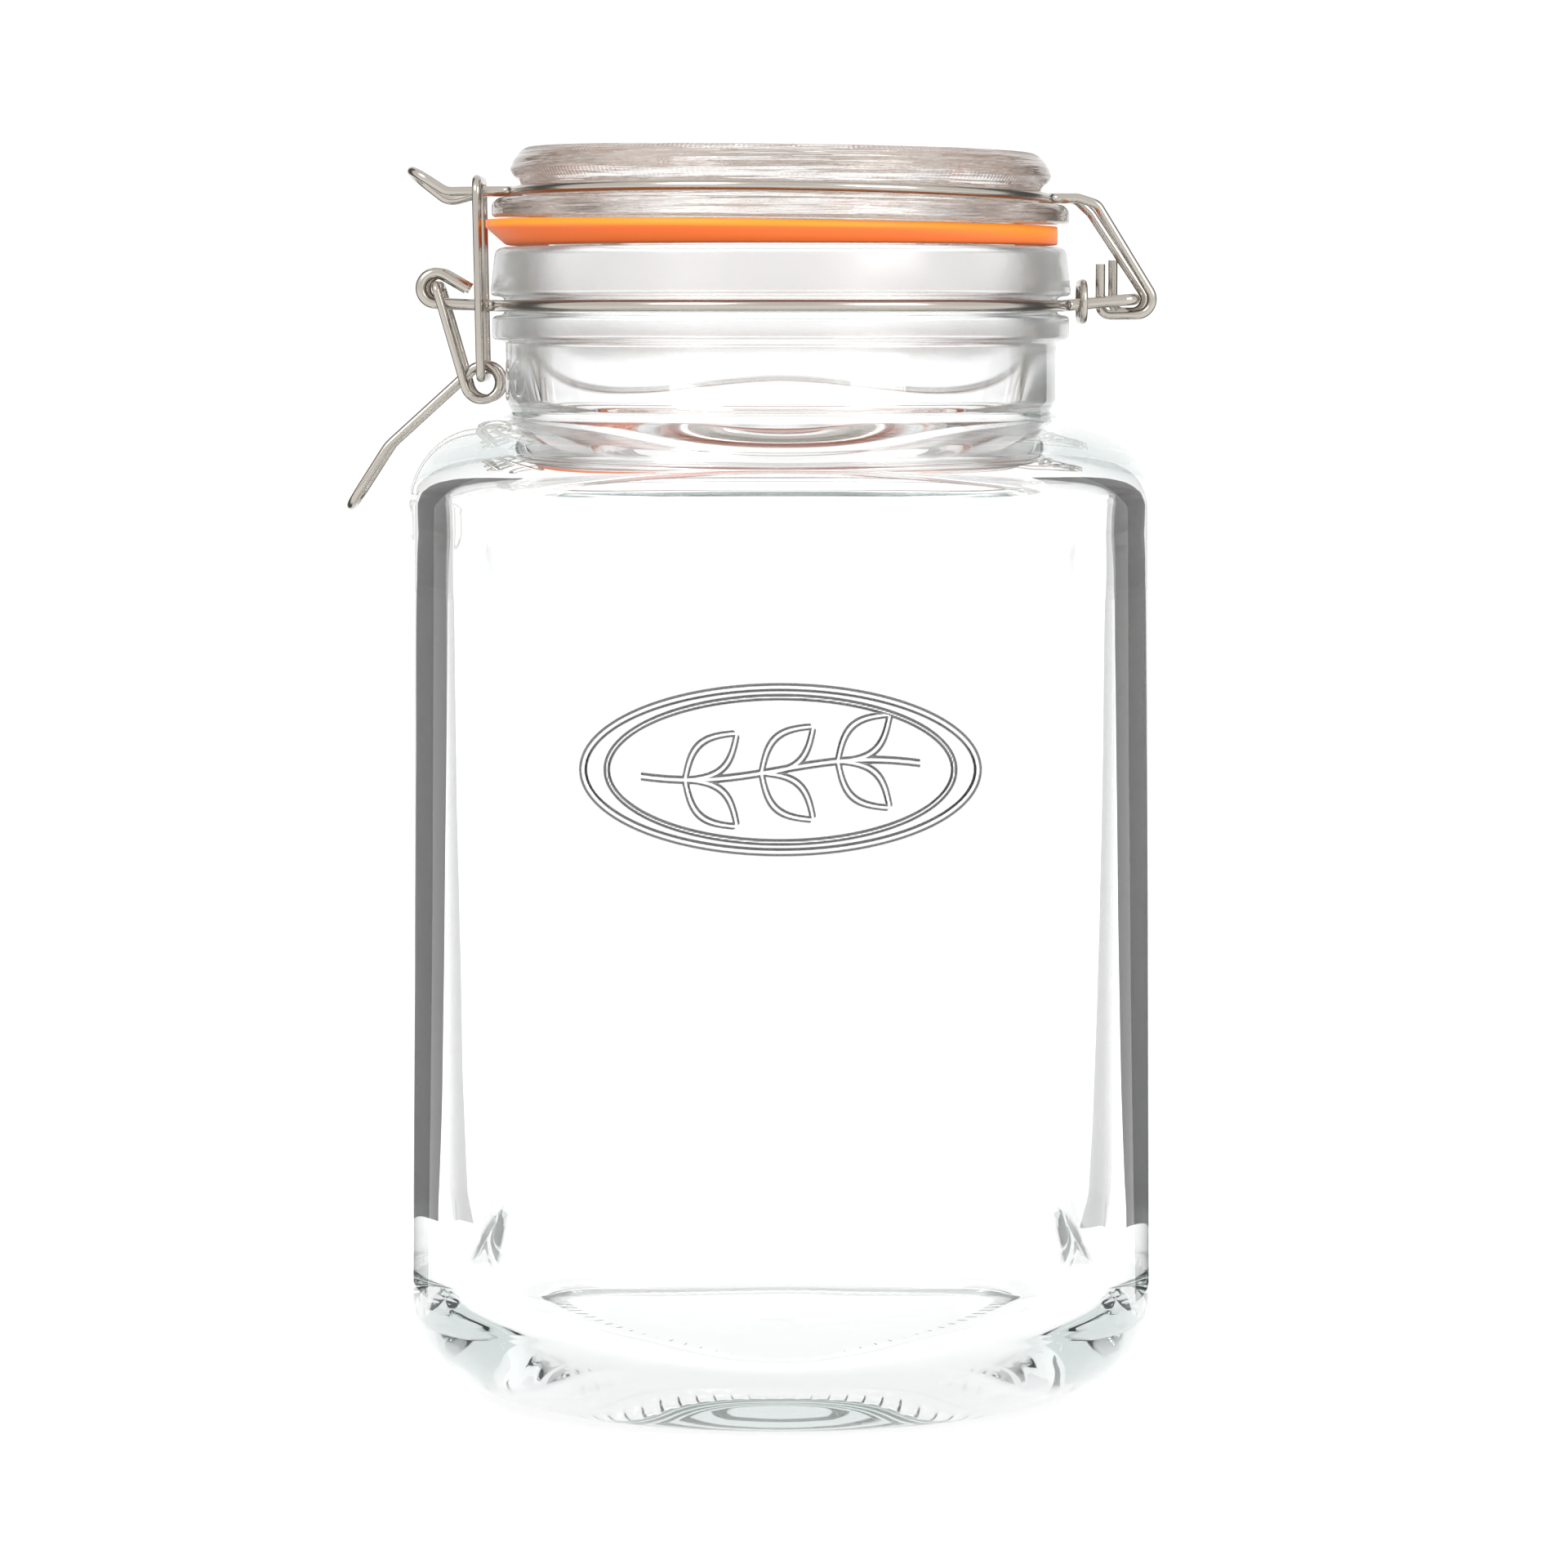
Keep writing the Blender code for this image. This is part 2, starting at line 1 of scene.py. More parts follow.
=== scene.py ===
"""Looks of the clip-top preserving jar: fine glass, rubber and wire on the CAD frame.

Lengths are in millimetres and turned to metres by MM. Pieces are drawn about the jar's own
axis, with +x to the hinge, -x to the clip and -y to the front, and heights come from the frame.
"""
import json
import math

import bmesh
import bpy
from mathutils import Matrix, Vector


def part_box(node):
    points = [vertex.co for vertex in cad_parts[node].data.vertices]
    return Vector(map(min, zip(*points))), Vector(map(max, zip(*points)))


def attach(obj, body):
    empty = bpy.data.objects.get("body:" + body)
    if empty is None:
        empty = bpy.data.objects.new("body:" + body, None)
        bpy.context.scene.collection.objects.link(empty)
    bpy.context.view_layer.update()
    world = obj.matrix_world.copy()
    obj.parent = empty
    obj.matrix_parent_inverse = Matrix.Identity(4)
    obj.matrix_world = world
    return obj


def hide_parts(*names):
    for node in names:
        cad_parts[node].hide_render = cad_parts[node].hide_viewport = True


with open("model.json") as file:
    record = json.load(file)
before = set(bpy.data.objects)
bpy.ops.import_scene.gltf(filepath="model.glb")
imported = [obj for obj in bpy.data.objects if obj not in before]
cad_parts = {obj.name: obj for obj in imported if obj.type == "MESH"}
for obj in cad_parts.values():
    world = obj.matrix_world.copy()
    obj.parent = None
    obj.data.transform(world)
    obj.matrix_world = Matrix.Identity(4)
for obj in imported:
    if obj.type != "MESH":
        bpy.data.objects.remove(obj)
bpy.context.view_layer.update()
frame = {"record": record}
MM = 0.001


def span(node):
    """A node's lowest and highest corners, in millimetres."""
    low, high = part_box(node)
    return [v / MM for v in low], [v / MM for v in high]


# ---------------------------------------------------------------- the lid's tilt and top bead
LID_TILT_ANGLE = 0.75   # degrees: the seal is pressed thinner at the hinge
LID_BEAD_IN = 3.0       # the top bead, in from the flange's edge
LID_CREST_IN = 2.6      # the bead's crest, in from its widest line

# ---------------------------------------------------------------- what the frame says
JAR_LOW, JAR_HIGH = span("jar_body")
LID_LOW, LID_HIGH = span("glass_lid")
SEAL_LOW, SEAL_HIGH = span("rubber_seal")
PIVOTS = {joint["name"]: joint["pos_m"] for joint in frame["record"]["behaviour"]["joints"]}

AXIS_X = (JAR_LOW[0] + JAR_HIGH[0]) / 2
BODY_HALF = (JAR_HIGH[0] - JAR_LOW[0]) / 2
RIM_TOP = JAR_HIGH[2]
LID_R = (LID_HIGH[0] - LID_LOW[0]) / 2
LID_TILT = math.tan(math.radians(LID_TILT_ANGLE))
LID_TOP = LID_HIGH[2] - (LID_R - LID_BEAD_IN - LID_CREST_IN) * LID_TILT
SEAL_FOOT = SEAL_LOW[2]
SEAL_R = (SEAL_HIGH[1] - SEAL_LOW[1]) / 2
CROSSBAR = (PIVOTS["lid_hinge"][0] / MM - AXIS_X, PIVOTS["lid_hinge"][2] / MM)
LEVER_PIVOT = (PIVOTS["lever_hinge"][0] / MM - AXIS_X, PIVOTS["lever_hinge"][2] / MM)
LINK_PIVOT = (PIVOTS["link_hinge"][0] / MM - AXIS_X, PIVOTS["link_hinge"][2] / MM)

# ---------------------------------------------------------------- glass sizes
BODY_POWER = 4.4        # squareness of the plan: 2 is a circle
WALL = 5.0
BASE_GLASS = 5.0        # glass under the inner floor
FLOOR_RISE = 0.8        # the inner floor's rise to its middle
HEEL_INSET = 13.5       # from the flats in to the ring it stands on
BEARING_WIDTH = 3.5
PUSH_UP = 2.6
HEEL_RISE = 17.0
HEEL_EASE = 1.15        # how late up the heel its plan turns square
SHOULDER_RISE = 13.5
SHOULDER_EASE = 0.6     # how soon down the shoulder its plan turns square
NECK_R = 45.9
NECK_HEIGHT = 12.9      # from the shoulder to the lower bead
NECK_WALL = 4.9
NECK_ROOT_OUT = 0.8     # where the shoulder ends, out from the neck
NECK_ROOT_DEPTH = 1.2   # small groove where the neck meets the shoulder
BEAD_STEP = 2.2         # how far the lower bead stands out from the neck
BEAD_HEIGHT = 3.8
GROOVE_STEP = 0.1       # the band's groove, measured out from the neck
GROOVE_HEIGHT = 3.4
RIM_STEP = 2.5          # how far the rim stands out from the neck at its foot
RIM_TAPER = 0.8
RIM_HEIGHT = 8.0
RIM_ROUND = 0.8
KNURLS = 88             # moulded teeth under the base
KNURL_HEIGHT = 0.5
KNURL_WIDTH = 4.5
KNURL_IN = 8.5          # their inner ends, in from the bearing ring

BEARING_R = BODY_HALF - HEEL_INSET
KNURL_INNER = BEARING_R - KNURL_IN
RIM_R = NECK_R + RIM_STEP
RIM_TOP_R = RIM_R - RIM_TAPER
MOUTH_R = NECK_R - NECK_WALL
RIM_FOOT = RIM_TOP - RIM_HEIGHT
BEAD_TOP = RIM_FOOT - GROOVE_HEIGHT
BEAD_FOOT = BEAD_TOP - BEAD_HEIGHT
SHOULDER_TOP = BEAD_FOOT - NECK_HEIGHT
SIDE_HEIGHT = SHOULDER_TOP - SHOULDER_RISE

# ---------------------------------------------------------------- wire sizes
SEAT_GAP = 0.3          # between pieces that rest on each other
RUN_GAP = 0.3           # between a wire and what it turns in or passes
BAND_WIRE_R = 0.95
BAIL_WIRE_R = 0.8
LEVER_WIRE_R = 0.75
LINK_WIRE_R = 0.75
COLLAR_WIRE_R = 0.62
BAIL_STRAND_Y = 3.7     # half the distance between the bail's two strands
BAIL_ARCH = 0.6         # how far the bail rises from its middle to front and back
WIRE_BEND_R = 2.0
FULL_BEND = 0.98        # a bend that rounds off a whole end, as a share of half its width
BAND_Z = BEAD_TOP + GROOVE_HEIGHT / 2
BAND_R = NECK_R + GROOVE_STEP + RUN_GAP + BAND_WIRE_R

# clip side: distances out from the rim, heights above the neck band
CURL_R = 2.5
CURL_TAIL = 4.4
CURL_END_ANGLE = 60
PIVOT_LIFT = 0.45       # the lever's ends bear on the top of the curls
COIL_R = 2.85
COIL_SIDE = 0.1
LEVER_END_BEND_R = 1.1
LINK_RISE = 0.8         # the link bears on the top of the coils
LINK_LEAN = 0.6
LINK_BEND_R = 2.5
HANDLE_BEND_OUT = 4.2   # out from the body's side and over its shoulder
HANDLE_BEND_RISE = 8.8
HANDLE_TOP_BEND_R = 6.0
HANDLE_TIP_OUT = 10.7
HANDLE_TIP_DROP = 1.3
HANDLE_TIP_BEND_R = 4.5
NOSE_OUT = 7.1          # where the bail's nose turns up
NOSE_BEND_R = 3.0
NOSE_TIP_OUT = 13.0
NOSE_TIP_RISE = 4.2
NOSE_TWIST = 0.8        # front strand high, back strand low
NOSE_SAG = 0.9
COIL_PITCH_GAP = 0.25
CURL = (LEVER_PIVOT[0], LEVER_PIVOT[1] - PIVOT_LIFT)
COIL = (LINK_PIVOT[0] + COIL_SIDE, LINK_PIVOT[1] - LINK_RISE)
HANDLE_BEND = (-BODY_HALF - HANDLE_BEND_OUT, SIDE_HEIGHT + HANDLE_BEND_RISE)
HANDLE_TIP = (-BODY_HALF - HANDLE_TIP_OUT, SIDE_HEIGHT - HANDLE_TIP_DROP)

# hinge side: the front strand is -1 and the back strand 1
TAIL_CORNER = {-1: (4.1, 16.8), 1: (3.5, 15.4)}    # out, up
TAIL_BEND_R = 2.2
LEAVE_OUT = 1.2         # where the bail's strands leave the lid's flange
HOOK_R = {-1: 2.6, 1: 2.15}
HOOK_SHIFT = {-1: 0.3, 1: 0.0}
STUB_BACK = {-1: 5.7, 1: 3.2}                      # stub, in from the crossbar
STUB_RISE = {-1: 6.9, 1: 7.6}
COLLAR_OUT = 1.8
COLLAR_RISE = 0.7
COLLAR_HALF_HEIGHT = 3.1
COLLAR_SIDE = 2.2

# ---------------------------------------------------------------- seal and lid sizes
SEAL_THICK = 3.7
SEAL_SHIFT = -1.5       # the seal sits off centre, towards the clip
SEAL_TAPER = 1.7        # how much narrower its underside is
SEAL_RIDGE = 0.68       # height of its widest line, as a share of its thickness
LID_FLANGE_THICK = 3.3
LID_GROOVE_HEIGHT = 2.35
LID_GROOVE_DEPTH = 5.1  # in from the flange's edge
LID_RIM_WIDTH = 8.1     # from the top bead in to the dish
LID_DISH_DEPTH = 3.4
LID_GLASS = 6.0
PLUG_GAP = 2.0          # between the lid's plug and the mouth
PLUG_REACH = 0.7        # how far the plug goes below the rim's top
PLUG_WIDTH = 4.0
PLUG_SLOPE = 3.0        # from the plug's inner edge in to the ceiling

SEAL_TOP = SEAL_FOOT + SEAL_THICK
LID_FOOT = SEAL_TOP + SEAT_GAP
LID_FLANGE_TOP = LID_FOOT + LID_FLANGE_THICK
LID_BEAD_FOOT = LID_FLANGE_TOP + LID_GROOVE_HEIGHT
LID_GROOVE_R = LID_R - LID_GROOVE_DEPTH
LID_BEAD_R = LID_R - LID_BEAD_IN
LID_DISH_R = LID_BEAD_R - LID_RIM_WIDTH
BAIL_R = LID_GROOVE_R + BAIL_WIRE_R + 2 * RUN_GAP
BAIL_Z = LID_FLANGE_TOP + RUN_GAP + BAIL_WIRE_R
BAIL_END_Z = BAIL_Z + LID_TILT * BAIL_R
NOSE_Z = BAIL_END_Z - NOSE_SAG
LINK_TOP_Z = BAIL_END_Z + BAIL_WIRE_R + RUN_GAP + LINK_WIRE_R
BAND_STRAND_Y = BAIL_STRAND_Y + BAIL_WIRE_R + 2 * RUN_GAP + BAND_WIRE_R
ARM_Y = BAND_STRAND_Y + BAND_WIRE_R + RUN_GAP + LEVER_WIRE_R
HANDLE_Y = ARM_Y - 2 * LEVER_WIRE_R - COIL_PITCH_GAP
LINK_Y = ARM_Y + LEVER_WIRE_R + RUN_GAP + LINK_WIRE_R

# ---------------------------------------------------------------- fineness
BEND_STEP = 9.0         # degrees per point in a wire's bend
RING_STEP = 2.5         # degrees per point where a wire goes round the jar
BODY_COLUMNS = 540      # round the back and sides
FINE_COLUMNS = 340      # across the moulded front
FINE_HALF = 30.0        # degrees each side of the front
RELIEF_ROWS = 150
LID_TEETH = 320         # fine knurl along the lid bead's edges
TOOTH_IN = 0.14
TOOTH_DOWN = 0.10
TOOTH_REACH = 0.9
LID_COLUMNS = 4 * LID_TEETH
SEAL_COLUMNS = 240

# ---------------------------------------------------------------- relief on the front
RELIEF_Z = 108.0
RELIEF_HALF = (31.0, 13.0)
RELIEF_MARGIN = 2
RELIEF_LINE = 0.5       # about half the width of a moulded line
RELIEF_HEIGHT = 0.8
INNER_OVAL = 0.88       # size of the second oval, as a share of the first
INNER_OVAL_THIN = 0.12  # how much thinner and lower its line is
STEM_HALF = 22
STEM_WAVE = 1.6
STEM_LENGTH = 9.0
LEAF_PAIRS = (-1, 0, 1)
LEAF_SPACING = 12.0
LEAF_SHIFT = 3
LEAF_ANGLE = 42
LEAF_LENGTH = 11.0
LEAF_HALF = 2.6
FAR = 9.0               # any distance well past a line's width
FLANK_START = 0.3       # where along a line's flank its painted grey shade starts and is full
FLANK_FULL = 0.7
# darkest grey of the painted shade on the moulded lines' flanks, standing in for their refraction
FLANK_PAINTED_SHADE = 0.02
FLANK_SKIN = 2          # only the outermost part of the front is shaded

# ---------------------------------------------------------------- colours
BODY_TINT = (0.62, 0.68, 0.67)
BODY_DENSITY = 10.0
LID_TINT = (0.6, 0.54, 0.48)
LID_DENSITY = 17.0
STEEL_COLOUR = (0.43, 0.4, 0.36)
STEEL_ROUGHNESS = 0.2
# painted shade: the darker, redder colour of the seal's face that turns under
RUBBER_UNDER_PAINTED_SHADE = (0.78, 0.145, 0.018, 1)
RUBBER_OUTER = (0.96, 0.245, 0.003, 1)
RIM_HAZE = 0.2
RIM_HAZE_BELOW = 8      # the haze starts below the lower bead and is full just above its foot
RIM_HAZE_ABOVE = 2


# ---------------------------------------------------------------- materials
def shader_of(material):
    """Turn nodes on and give the main shader."""
    material.use_nodes = True
    return material.node_tree.nodes["Principled BSDF"]


def set_values(shader, **values):
    """Set the shader's own sockets, with _ for a space in a name."""
    for name, value in values.items():
        shader.inputs[name.replace("_", " ")].default_value = value


def noise_node(nodes, links, scale, stretch, detail=3.0):
    """A noise pattern in the object's own millimetres, stretched by a scale for each axis."""
    place = nodes.new("ShaderNodeTexCoord")
    mapping = nodes.new("ShaderNodeMapping")
    mapping.inputs["Scale"].default_value = stretch
    noise = nodes.new("ShaderNodeTexNoise")
    noise.inputs["Scale"].default_value = scale
    noise.inputs["Detail"].default_value = detail
    links.new(place.outputs["Object"], mapping.inputs["Vector"])
    links.new(mapping.outputs["Vector"], noise.inputs["Vector"])
    return noise


def add_bump(material, noise, strength, distance, onto=None):
    """Add a bump to a material, on top of an earlier one if given."""
    nodes = material.node_tree.nodes
    links = material.node_tree.links
    bump = nodes.new("ShaderNodeBump")
    bump.inputs["Strength"].default_value = strength
    bump.inputs["Distance"].default_value = distance
    links.new(noise.outputs["Fac"], bump.inputs["Height"])
    if onto:
        links.new(onto.outputs["Normal"], bump.inputs["Normal"])
    links.new(bump.outputs["Normal"], shader_of(material).inputs["Normal"])
    return bump


def glass_material(name, tint, density, ripples):
    """Glass that darkens with thickness; ripples is a list of (scale, stretch, strength, distance)."""
    material = bpy.data.materials.new(name)
    shader = shader_of(material)
    set_values(shader, Base_Color=(1, 1, 1, 1), Roughness=0.0, IOR=1.5)
    set_values(shader, Transmission_Weight=1.0)
    nodes = material.node_tree.nodes
    links = material.node_tree.links
    depth = nodes.new("ShaderNodeVolumeAbsorption")
    depth.inputs["Color"].default_value = (*tint, 1)
    depth.inputs["Density"].default_value = density
    links.new(depth.outputs["Volume"], nodes["Material Output"].inputs["Volume"])
    last = None
    for scale, stretch, strength, distance in ripples:
        noise = noise_node(nodes, links, scale, stretch)
        last = add_bump(material, noise, strength, distance, last)
    return material


def blur_from(material, low, high, most):
    """Roughness that grows with height, for the hazier glass of the moulded rim."""
    nodes = material.node_tree.nodes
    links = material.node_tree.links
    place = nodes.new("ShaderNodeTexCoord")
    split = nodes.new("ShaderNodeSeparateXYZ")
    level = nodes.new("ShaderNodeMapRange")
    level.inputs["From Min"].default_value = low * MM
    level.inputs["From Max"].default_value = high * MM
    level.inputs["To Max"].default_value = most
    links.new(place.outputs["Object"], split.inputs["Vector"])
    links.new(split.outputs["Z"], level.inputs["Value"])
    links.new(level.outputs["Result"], shader_of(material).inputs["Roughness"])


def paint_flank_shade(material):
    """Paint grey shade on the steep flanks of the moulded lines, a stand-in for the refraction there.
    """
    nodes = material.node_tree.nodes
    links = material.node_tree.links
    flank = nodes.new("ShaderNodeAttribute")
    flank.attribute_name = "flank"
    ramp = nodes.new("ShaderNodeValToRGB")
    ramp.color_ramp.elements[0].position = FLANK_START
    ramp.color_ramp.elements[0].color = (1, 1, 1, 1)
    ramp.color_ramp.elements[1].position = FLANK_FULL
    ramp.color_ramp.elements[1].color = (FLANK_PAINTED_SHADE, FLANK_PAINTED_SHADE, FLANK_PAINTED_SHADE, 1)
    links.new(flank.outputs["Fac"], ramp.inputs["Fac"])
    links.new(ramp.outputs["Color"], shader_of(material).inputs["Base Color"])


def steel_material(name, colour, roughness):
    """Drawn wire: faint marks and uneven brightness along it."""
    material = bpy.data.materials.new(name)
    shader = shader_of(material)
    set_values(shader, Base_Color=(*colour, 1.0), Metallic=1.0)
    nodes = material.node_tree.nodes
    links = material.node_tree.links
    patches = noise_node(nodes, links, 240.0, (1, 1, 1), 4.0)
    level = nodes.new("ShaderNodeMapRange")
    level.inputs["To Min"].default_value = roughness * 0.7
    level.inputs["To Max"].default_value = roughness * 1.4
    links.new(patches.outputs["Fac"], level.inputs["Value"])
    links.new(level.outputs["Result"], shader.inputs["Roughness"])
    marks = noise_node(nodes, links, 2600.0, (1, 1, 1), 2.0)
    add_bump(material, marks, 0.12, 0.00005)
    return material


def rubber_material(name):
    """Orange rubber with painted shade, darker and redder on the face that turns under, and a fine
    matt grain.
    """
    material = bpy.data.materials.new(name)
    shader = shader_of(material)
    set_values(shader, Roughness=0.5)
    nodes = material.node_tree.nodes
    links = material.node_tree.links
    # painted shade: faces turned downward take the darker colour
    surface = nodes.new("ShaderNodeNewGeometry")
    split = nodes.new("ShaderNodeSeparateXYZ")
    links.new(surface.outputs["Normal"], split.inputs["Vector"])
    tone = nodes.new("ShaderNodeMapRange")
    tone.inputs["From Min"].default_value = -1.0
    links.new(split.outputs["Z"], tone.inputs["Value"])
    ramp = nodes.new("ShaderNodeValToRGB")
    ramp.color_ramp.elements[0].position = 0.3
    ramp.color_ramp.elements[0].color = RUBBER_UNDER_PAINTED_SHADE
    ramp.color_ramp.elements[1].position = 0.5
    ramp.color_ramp.elements[1].color = RUBBER_OUTER
    links.new(tone.outputs["Result"], ramp.inputs["Fac"])
    links.new(ramp.outputs["Color"], shader.inputs["Base Color"])
    grain = noise_node(nodes, links, 1500.0, (1, 1, 1), 2.0)
    add_bump(material, grain, 0.15, 0.0001)
    return material


# ---------------------------------------------------------------- turned and squared shapes
def arc(centre, size, start, end, steps):
    """Points on an elliptical arc in a profile, as (radius, height)."""
    points = []
    for i in range(steps + 1):
        turn = math.radians(start + (end - start) * i / steps)
        points.append((centre[0] + size[0] * math.cos(turn), centre[1] + size[1] * math.sin(turn)))
    return points


def run(start, end, steps):
    """Points along a straight stretch of a profile, without its last one."""
    points = []
    for i in range(steps):
        share = i / steps
        points.append(tuple(a + (b - a) * share for a, b in zip(start, end)))
    return points


def soften(points, radius, steps=4):
    """Round each corner of a profile by a small curve."""
    out = [points[0]]
    for before, corner, after in zip(points, points[1:], points[2:]):
        a = Vector(before) - Vector(corner)
        b = Vector(after) - Vector(corner)
        if a.length < 1e-6 or b.length < 1e-6 or a.angle(b) > math.radians(172):
            out.append(corner)
            continue
        reach = min(radius, a.length * 0.45, b.length * 0.45)
        first = Vector(corner) + a.normalized() * reach
        last = Vector(corner) + b.normalized() * reach
        for i in range(steps + 1):
            t = i / steps
            place = first * (1 - t) ** 2 + Vector(corner) * 2 * t * (1 - t) + last * t**2
            out.append(tuple(place))
    out.append(points[-1])
    return out


def plan_radius(half, power, turn):
    """Distance from the axis to a rounded square's outline."""
    sides = abs(math.cos(turn)) ** power + abs(math.sin(turn)) ** power
    return half / sides ** (1 / power)


def new_piece(name, data, material, body, node):
    """Add a piece that rides on a body and replaces a CAD node."""
    piece = bpy.data.objects.new(name, data)
    bpy.context.scene.collection.objects.link(piece)
    data.materials.append(material)
    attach(piece, body)
    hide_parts(node)
    return piece


def even_turns(count):
    """Column angles evenly round the axis."""
    return [2 * math.pi * i / count for i in range(count)]


def body_turns():
    """Column angles for the body, close together across the moulded front."""
    edge = math.radians(FINE_HALF)
    front = -math.pi / 2
    fine = [front - edge + 2 * edge * i / FINE_COLUMNS for i in range(FINE_COLUMNS)]
    rest = 2 * math.pi - 2 * edge
    return fine + [front + edge + rest * i / BODY_COLUMNS for i in range(BODY_COLUMNS)]


def skin(name, rings, turns, place, closed_loop=False):
    """Skin a stack of rings; place(ring, turn) gives a point in millimetres about the axis."""
    columns = len(turns)
    mesh = bmesh.new()
    loops = []
    for ring in rings:
        if ring[0] == 0:
            x, y, z = place(ring, 0)
            loops.append([mesh.verts.new(((x + AXIS_X) * MM, y * MM, z * MM))])
            continue
        loop = []
        for turn in turns:
            x, y, z = place(ring, turn)
            loop.append(mesh.verts.new(((x + AXIS_X) * MM, y * MM, z * MM)))
        loops.append(loop)
    pairs = list(zip(loops, loops[1:]))
    if closed_loop:
        pairs.append((loops[-1], loops[0]))
    for low, high in pairs:
        for i in range(columns):
            j = (i + 1) % columns
            if len(low) == 1:
                mesh.faces.new((low[0], high[j], high[i]))
            elif len(high) == 1:
                mesh.faces.new((low[i], low[j], high[0]))
            else:
                mesh.faces.new((low[i], low[j], high[j], high[i]))
    for face in mesh.faces:
        face.smooth = True
    bmesh.ops.recalc_face_normals(mesh, faces=mesh.faces)
    data = bpy.data.meshes.new(name)
    mesh.to_mesh(data)
    mesh.free()
    return data


# ---------------------------------------------------------------- the body
def squared(points, low_z, high_z, from_low, ease):
    """Rings whose plan goes from round to square over a height; ease bends how fast."""
    rings = []
    for half, z in points:
        share = (z - low_z) / (high_z - low_z)
        if not from_low:
            share = 1 - share
        share = min(max(share, 0.0), 1.0) ** ease
        rings.append((half, z, 2 + (BODY_POWER - 2) * share, "out"))
    return rings


def plain(points, kind="out"):
    """Round rings."""
    return [(half, z, 2, kind) for half, z in points]


def body_rings():
    """The body's rings, up its outside from the base and down its inside to the floor."""
    bearing_inner = BEARING_R - BEARING_WIDTH
    foot = soften(
        [
            (0.01, PUSH_UP),
            (bearing_inner * 0.5, PUSH_UP),
            (bearing_inner - 4, PUSH_UP),
            (bearing_inner, 0),
            (BEARING_R, 0),
            (BEARING_R + 2.8, 0.5),
        ],
        1.2,
    )[:-1]
    knurled = []
    for low, high in zip(foot, foot[1:]):
        knurled += run(low, high, max(1, round(math.dist(low, high) / 0.6)))
    heel = arc((BEARING_R, HEEL_RISE), (BODY_HALF - BEARING_R, HEEL_RISE), -75, 0, 20)
    relief_low = RELIEF_Z - RELIEF_HALF[1] - RELIEF_MARGIN
    relief_high = RELIEF_Z + RELIEF_HALF[1] + RELIEF_MARGIN
    side = run((BODY_HALF, HEEL_RISE), (BODY_HALF, relief_low), 12)[1:]
    side += run((BODY_HALF, relief_low), (BODY_HALF, relief_high), RELIEF_ROWS)
    side += run((BODY_HALF, relief_high), (BODY_HALF, SIDE_HEIGHT), 6)
    shoulder = arc(
        (NECK_R + NECK_ROOT_OUT, SIDE_HEIGHT),
        (BODY_HALF - NECK_R - NECK_ROOT_OUT, SHOULDER_TOP - SIDE_HEIGHT),
        0,
        90,
        22,
    )
    neck = soften(
        [
            (NECK_R + NECK_ROOT_OUT, SHOULDER_TOP),
            (NECK_R - NECK_ROOT_DEPTH, SHOULDER_TOP + 0.8),
            (NECK_R, SHOULDER_TOP + 2.2),
            (NECK_R, BEAD_FOOT - 0.4),
            (NECK_R + BEAD_STEP, BEAD_FOOT),
            (NECK_R + BEAD_STEP, BEAD_TOP),
            (NECK_R + GROOVE_STEP, BEAD_TOP + 0.3),
            (NECK_R + GROOVE_STEP, RIM_FOOT - 0.3),
            (RIM_R, RIM_FOOT),
            (RIM_TOP_R, RIM_TOP - RIM_ROUND),
            (RIM_TOP_R - RIM_ROUND, RIM_TOP),
            (MOUTH_R + RIM_ROUND, RIM_TOP),
            (MOUTH_R, RIM_TOP - RIM_ROUND),
            (MOUTH_R, SHOULDER_TOP),
        ],
        0.8,
    )
    inner_half = BODY_HALF - WALL
    floor = BASE_GLASS + PUSH_UP
    heel_in = BEARING_R - WALL
    shoulder_in = arc(
        (MOUTH_R, SIDE_HEIGHT),
        (inner_half - MOUTH_R, SHOULDER_TOP - SIDE_HEIGHT - WALL),
        84,
        0,
        20,
    )
    side_in = run((inner_half, SIDE_HEIGHT), (inner_half, floor + HEEL_RISE - 1), 8)[1:]
    heel_inside = arc(
        (heel_in, floor + HEEL_RISE - 1), (inner_half - heel_in, HEEL_RISE - 1), 0, -90, 20
    )
    floor_rings = run((heel_in, floor), (0.01, floor + FLOOR_RISE), 10)[1:]
    return (
        plain([(0, PUSH_UP)])
        + plain(knurled, "foot")
        + squared(heel, 0, HEEL_RISE, True, HEEL_EASE)
        + [(half, z, BODY_POWER, "side") for half, z in side]
        + squared(shoulder, SIDE_HEIGHT, SHOULDER_TOP, False, SHOULDER_EASE)
        + plain(neck[1:])
        + squared(shoulder_in, SIDE_HEIGHT, SHOULDER_TOP - WALL, False, SHOULDER_EASE)
        + [(half, z, BODY_POWER, "in") for half, z in side_in]
        + squared(heel_inside, floor, floor + HEEL_RISE, True, HEEL_EASE)
        + plain(floor_rings)
        + plain([(0, floor + FLOOR_RISE)])
    )


def leaf_distance(x, z, root, angle, length, width):
    """Distance to the outline of a pointed leaf that grows from root."""
    turn = math.radians(angle)
    along = (x - root[0]) * math.cos(turn) + (z - root[1]) * math.sin(turn)
    across = -(x - root[0]) * math.sin(turn) + (z - root[1]) * math.cos(turn)
    if not 0 <= along <= length:
        return FAR
    half = width * math.sin(math.pi * along / length)
    return abs(abs(across) - half)


